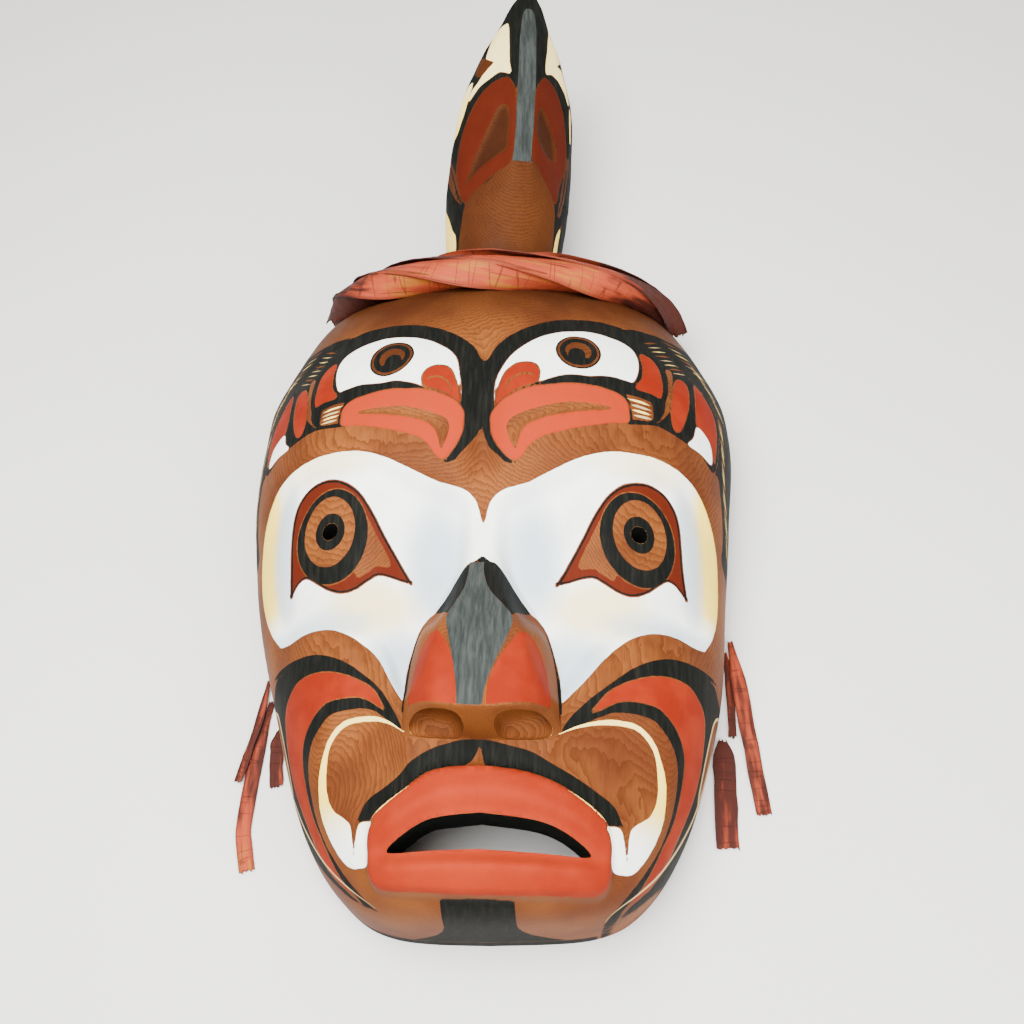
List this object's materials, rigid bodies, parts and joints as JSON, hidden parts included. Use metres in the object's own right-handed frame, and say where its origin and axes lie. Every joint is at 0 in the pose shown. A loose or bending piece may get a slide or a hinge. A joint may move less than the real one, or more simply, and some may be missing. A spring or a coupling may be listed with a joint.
{
  "type": "carved mask",
  "caption": "Carved and painted cedar face mask, hollow at the back, with a keeled crest, a twisted bark band and bark strip ends.",
  "frame": {"origin": "middle of the flat back rim at the chin", "axes": "+Y from the chin to the crest, +Z out of the face, +X to the viewer's right; the mask lies on its back"},
  "size_m": [0.3048, 0.6069, 0.1461],
  "materials": {
    "painted_cedar": "oiled red cedar with matte black, red, white and cream paint",
    "cedar_bark": "dry red-dyed inner bark strips"
  },
  "bodies": {
    "root": {"mask_shell": "painted_cedar", "crest": "painted_cedar", "band_strip_1": "cedar_bark", "band_strip_2": "cedar_bark", "band_strip_3": "cedar_bark", "band_strip_4": "cedar_bark", "band_strip_5": "cedar_bark", "hanging_strip_left_1": "cedar_bark", "hanging_strip_left_2": "cedar_bark", "hanging_strip_left_3": "cedar_bark", "hanging_strip_right_1": "cedar_bark", "hanging_strip_right_2": "cedar_bark", "hanging_strip_right_3": "cedar_bark"}
  },
  "joints": []
}
